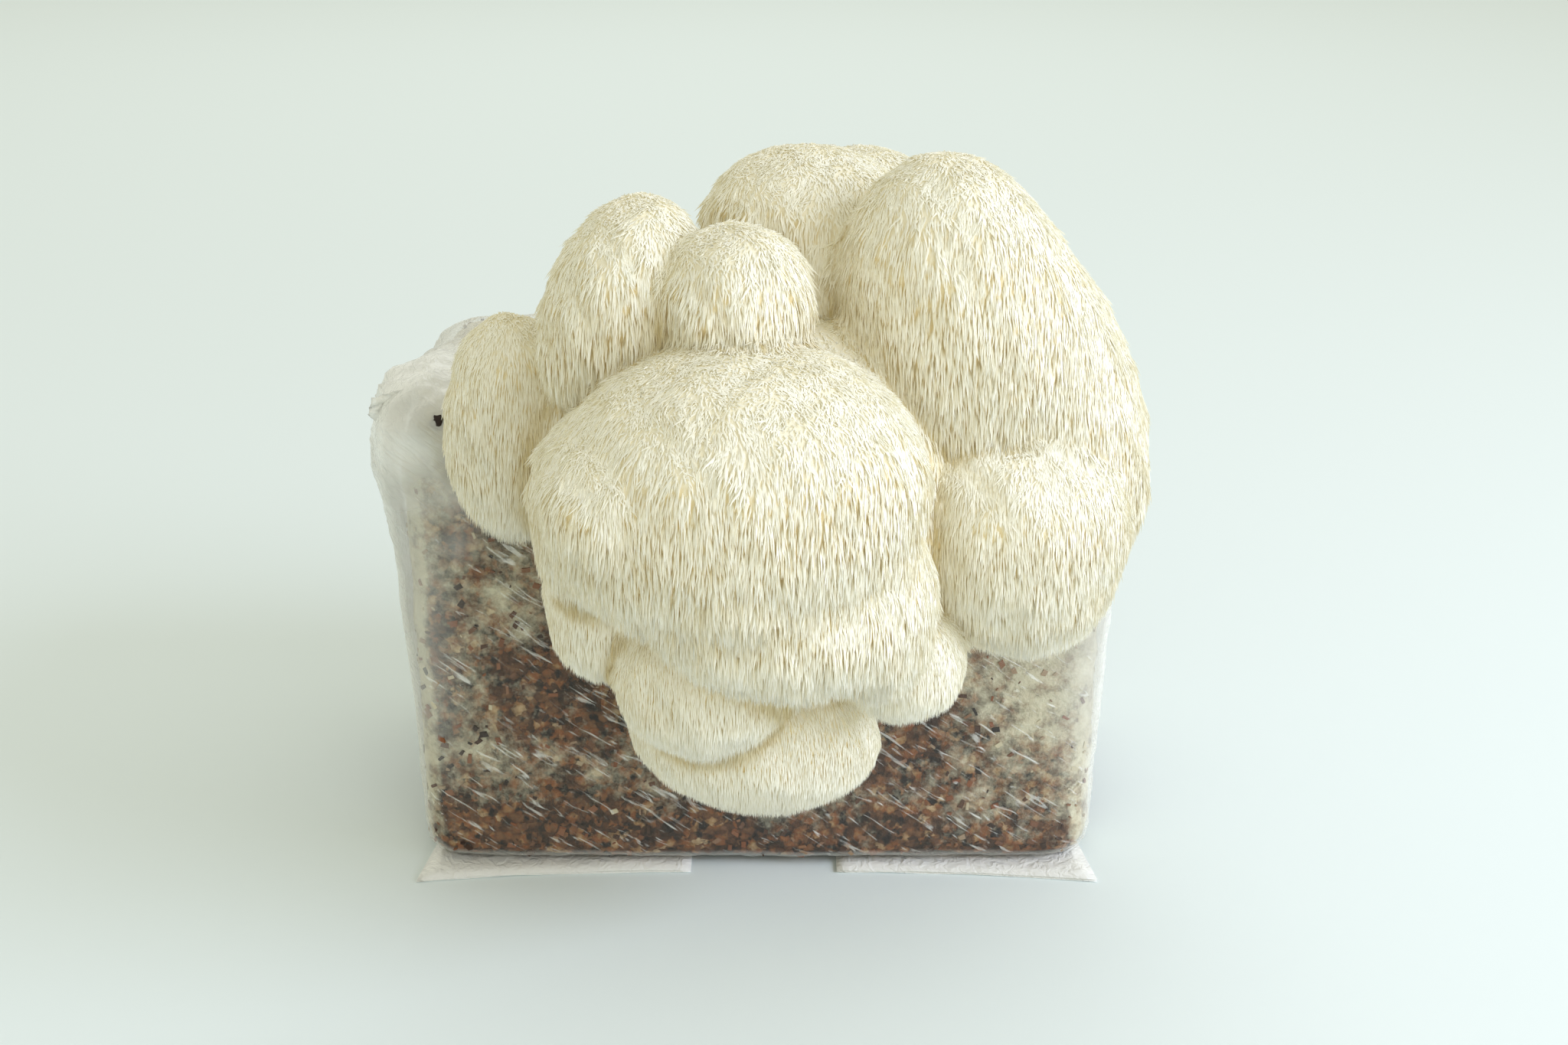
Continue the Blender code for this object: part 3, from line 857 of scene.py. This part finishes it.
def clear_film():
    """Thin polypropylene film: clear and glossy, milky where it is crumpled, and made milky where it is
    seen edge on as painted reflection. Fine creases show as grey and lilac streaks: partly the film's own
    whitening where it is creased, partly painted glints where they catch the light."""
    material, tree, shader = new_material("clear_film")
    place = add_node(tree, "ShaderNodeTexCoord").outputs["Object"]
    slack = add_node(tree, "ShaderNodeAttribute", {"attribute_name": "slack"}).outputs["Fac"]
    # Seen edge on, the film is made milkier: painted reflection of the light that thin film reflects at a
    # grazing angle.
    edge = add_node(tree, "ShaderNodeLayerWeight", inputs={"Blend": 0.3}).outputs["Facing"]
    edge_sheen = add_node(
        tree,
        "ShaderNodeMapRange",
        inputs={"Value": edge, "From Min": 0.25, "From Max": 1.0, "To Min": 0.02, "To Max": 0.6},
    ).outputs["Result"]

    # Creases run down to the right, a millimetre wide and several long, here and there. They are painted
    # as milky streaks: partly the film's own whitening, partly painted glints.
    turned = add_node(
        tree,
        "ShaderNodeMapping",
        {"vector_type": "TEXTURE"},
        {"Vector": place, "Rotation": (0, math.radians(35), 0), "Scale": (11 * MM, 4 * MM, 1.8 * MM)},
    ).outputs["Vector"]
    wrinkles = add_node(
        tree,
        "ShaderNodeTexNoise",
        inputs={"Vector": turned, "Scale": 1.0, "Detail": 2.0, "Distortion": 1.2},
    ).outputs["Fac"]
    whitened_creases_and_glints = add_node(
        tree,
        "ShaderNodeMapRange",
        inputs={"Value": wrinkles, "From Min": 0.6, "From Max": 0.76, "To Min": 0.0, "To Max": 0.45},
    ).outputs["Result"]
    haze_and_edge_sheen = add_node(
        tree, "ShaderNodeMath", {"operation": "MULTIPLY_ADD"}, {0: slack, 1: 0.8, 2: edge_sheen}
    ).outputs["Value"]
    alpha = add_node(tree, "ShaderNodeMath", {"operation": "MAXIMUM"}, {0: haze_and_edge_sheen, 1: whitened_creases_and_glints})
    tree.links.new(alpha.outputs["Value"], shader.inputs["Alpha"])
    bump = add_node(
        tree, "ShaderNodeBump", inputs={"Height": wrinkles, "Strength": 0.5, "Distance": 1.5 * MM}
    )
    tree.links.new(bump.outputs["Normal"], shader.inputs["Normal"])
    shader.inputs["Base Color"].default_value = linear("#FCFCF6")
    shader.inputs["Roughness"].default_value = 0.2
    shader.inputs["IOR"].default_value = 1.49
    return material


def film_slack(place, outward):
    """How far the film stands off the block: crumples on top, and a puffed left top edge."""
    upward = smooth_step(outward.z, 0.1, 0.7)
    crumple = abs(noise.noise(place / CRUMPLE_SIZE)) * CRUMPLE_HEIGHT * upward
    near_corner = near_puff(place)
    puff = PUFF_HEIGHT * near_corner * smooth_step(outward.z - outward.x, 0.3, 1)
    return crumple + puff


def near_puff(place):
    """1 at the puffed left top corner of the bag, 0 where its reach ends."""
    corner = Vector((block_low.x, block_low.y / 2, block_high.z))
    return float(1 - smooth_step((place - corner).length, 0, PUFF_REACH))


def ridges(place, size):
    """Sharp folds with soft hollows between them, 0 to 1."""
    return max(1 - 3.2 * abs(noise.noise(place / size)), 0) ** 1.5


def finished_sheet(shape, name, material, slack):
    """Gives an open sheet of film its thickness, and its mark of how slack and milky it is."""
    mesh = bpy.data.meshes.new(name)
    bmesh.ops.recalc_face_normals(shape, faces=shape.faces[:])
    bmesh.ops.solidify(shape, geom=shape.faces[:], thickness=FILM_THICKNESS)
    bmesh.ops.triangulate(shape, faces=shape.faces[:])
    shape.to_mesh(mesh)
    shape.free()
    set_attribute(mesh, "slack", np.array([slack(Vector(point)) for point in points_of(mesh)]))
    return new_piece(name, mesh, material)


def make_bag(material):
    """The film round the block: crumpled at the left top, loose beside the block, creased in sharp
    ridges, and open where the stem comes through."""
    film = remeshed(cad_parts["substrate_block"].data.copy(), FILM_VOXEL, 10)
    shape = bmesh.new()
    shape.from_mesh(film)
    across = 1 / (STEM_HALF_WIDTH + HOLE_ROOM)
    upward = 1 / (STEM_HALF_HEIGHT + HOLE_ROOM)
    gone = [
        vertex
        for vertex in shape.verts
        if vertex.co.y < block_low.y / 2
        and math.hypot(
            (vertex.co.x - STEM_CENTRE.x) * across,
            (vertex.co.z - STEM_CENTRE.z) * upward,
        ) < 1
    ]
    bmesh.ops.delete(shape, geom=gone, context="VERTS")
    crumpled = [edge for edge in shape.edges if near_puff(edge.verts[0].co) > 0.1]
    bmesh.ops.subdivide_edges(shape, edges=crumpled, cuts=1, use_grid_fill=True)
    shape.normal_update()
    for vertex, outward in [(vertex, vertex.normal.copy()) for vertex in shape.verts]:
        # Low creases run all over the film, and high ones only near its puffed corner.
        place = vertex.co
        puff = near_puff(place)
        tight = ridges(place, 12 * MM) * 0.6 * MM
        loose = (ridges(place, 13 * MM) * 1.6 * MM + ridges(place, 6 * MM) * 1.1 * MM) * puff
        upper = smooth_step(place.z, 10 * MM, 110 * MM)
        aside = SIDE_STAND_OFF * smooth_step(abs(outward.x), 0.5, 1) * upper
        stand_off = FILM_STAND_OFF + film_slack(place, outward) + aside + tight + loose
        vertex.co = place + outward * stand_off
    piece = finished_sheet(shape, "film_bag", material, film_haze)
    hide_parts("grow_bag")


def film_haze(place):
    """How milky the film is: most at its puffed corner, where it ends in ragged drifts, and a
    little where it is loose at the sides."""
    drift = Vector([noise.noise(place / HAZE_SIZE + shift) for shift in HAZE_SHIFTS]) * HAZE_DRIFT
    beside = smooth_step(abs(place.x), 80 * MM, 104 * MM) * smooth_step(place.z, 15 * MM, 60 * MM)
    return max(near_puff(place + drift) ** 0.55, 0.28 * beside)


def make_ear(name, root, direction, size, material):
    """A pointed ear of crumpled film, where the gusset juts out at a corner."""
    width, length = size
    shape = bmesh.new()
    bmesh.ops.create_grid(shape, x_segments=12, y_segments=12, size=0.5)
    for vertex in shape.verts:
        out = vertex.co.y + 0.5
        fold = (ridges(vertex.co + root * 40, 0.45) - 0.4) * EAR_CRUMPLE
        vertex.co = Vector((vertex.co.x * width * (1 - 0.7 * out), fold, (out - 0.2) * length))
    turn = Vector(direction).to_track_quat("Z", "X").to_matrix().to_4x4()
    shape.transform(Matrix.Translation(root) @ turn)
    finished_sheet(shape, name, material, lambda place: EAR_HAZE)


def make_foot(material):
    """The folded end of the bag under the block: two flat layers of film whose front corners jut
    out, cut away in the middle of the front, where it is raised off the table."""
    for layer, height in enumerate(FOLD_HEIGHTS):
        shape = bmesh.new()
        bmesh.ops.create_grid(shape, x_segments=48, y_segments=24, size=1)
        for vertex in shape.verts:
            across, along = vertex.co.x, vertex.co.y
            flare = max(-along - 0.4, 0) / 0.6 * abs(across) ** 3
            place = Vector((across * FOLD_SIDE, along * FOLD_FRONT, height))
            place.x += math.copysign(flare * FOLD_CORNER, across)
            place.y = min(place.y, FOLD_BACK) - flare * FOLD_CORNER
            place.z += noise.noise(Vector((place.x, place.y, layer * 0.1)) / (16 * MM)) * 0.4 * MM
            place.z = max(place.z, 0.1 * MM)
            vertex.co = place
        gone = [
            vertex
            for vertex in shape.verts
            if RAISED_LEFT < vertex.co.x < RAISED_RIGHT and vertex.co.y < RAISED_DEPTH - FOLD_FRONT
        ]
        bmesh.ops.delete(shape, geom=gone, context="VERTS")
        finished_sheet(shape, f"film_foot_{layer + 1}", material, lambda place: FOOT_HAZE)


def make_crumb(name, place, size, material, seed, tone):
    """A crumb of sawdust that lies loose inside the film."""
    shape = bmesh.new()
    bmesh.ops.create_icosphere(shape, subdivisions=3, radius=1)
    for vertex in shape.verts:
        bulge = 1 + 0.5 * noise.noise(vertex.co * 1.6 + Vector((seed, 0, 0)))
        vertex.co = place + Vector(part * half for part, half in zip(vertex.co * bulge, size))
    mesh = bpy.data.meshes.new(name)
    shape.to_mesh(mesh)
    shape.free()
    set_attribute(mesh, "tone", np.full(len(mesh.vertices), tone))
    new_piece(name, mesh, material)


# The floor, the light and the camera

def make_stage():
    """A wide floor of matt painted board: pale, even and faintly blue, with no gloss."""
    bpy.ops.mesh.primitive_circle_add(vertices=96, radius=6, fill_type="NGON")
    floor = bpy.context.object
    floor.name = "floor"
    material, tree, shader = new_material("pale_floor")
    shader.inputs["Base Color"].default_value = linear("#E9F2F1")
    shader.inputs["Roughness"].default_value = 0.9
    floor.data.materials.append(material)


def add_area_light(name, place, target, size, power, colour):
    data = bpy.data.lights.new(name, "AREA")
    data.shape = "DISK"
    data.size = size
    data.energy = power
    data.color = linear(colour)[:3]
    light = bpy.data.objects.new(name, data)
    light.location = place
    light.rotation_euler = (Vector(target) - Vector(place)).to_track_quat("-Z", "Y").to_euler()
    bpy.context.scene.collection.objects.link(light)


def make_light():
    """Soft light from all round, a large cool key from the upper right, a weak fill low at the front,
    and a light on the floor behind the object, which brightens the backdrop."""
    scene = bpy.context.scene
    world = bpy.data.worlds.new("soft_surround")
    world.use_nodes = True
    background = world.node_tree.nodes["Background"]
    background.inputs["Color"].default_value = linear("#FDFDEE")
    background.inputs["Strength"].default_value = 0.74
    scene.world = world
    add_area_light("key", (1.28, -0.62, 0.82), (0, 0, 0.1), 0.9, 17, "#DFE7FF")
    add_area_light("fill", (0.5, -1.1, 0.08), (0.03, -0.12, 0.06), 0.5, 2.2, "#FFFFFF")
    add_area_light("back", (0.0, 1.7, 1.4), (0.0, 1.2, 0), 1.2, 4, "#EEF4FF")
    scene.view_settings.view_transform = "Standard"


def make_camera():
    data = bpy.data.cameras.new("camera")
    data.lens = LENS
    data.sensor_width = SENSOR
    data.clip_start = 0.02
    camera = bpy.data.objects.new("camera", data)
    camera.location = CAMERA_PLACE
    camera.rotation_euler = (math.radians(90 - CAMERA_PITCH), 0, 0)
    bpy.context.scene.collection.objects.link(camera)
    bpy.context.scene.camera = camera


def main():
    make_camera()
    make_light()
    make_stage()
    body = make_flesh(mushroom_flesh("mushroom_flesh", fibres=True))
    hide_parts("fruit_body")
    faces = [tuple(face.vertices) for face in body.data.polygons]
    flesh = BVHTree.FromPolygons(points_of(body.data).tolist(), faces)
    make_spines(flesh, mushroom_flesh("mushroom_spines", fibres=False))
    make_block()
    film = clear_film()
    make_bag(film)
    make_ear("left_ear", LEFT_EAR_ROOT, (-1, -0.3, 0.3), LEFT_EAR_SIZE, film)
    make_ear("right_ear", RIGHT_EAR_ROOT, (1, -0.1, 0.1), RIGHT_EAR_SIZE, film)
    make_foot(film)
    crumbs = loose_chips()
    make_crumb("tan_crumb", TAN_CRUMB_PLACE, TAN_CRUMB_SIZE, crumbs, seed=3, tone=0.88)
    make_crumb("dark_crumb", DARK_CRUMB_PLACE, DARK_CRUMB_SIZE, crumbs, seed=8, tone=0.05)


main()
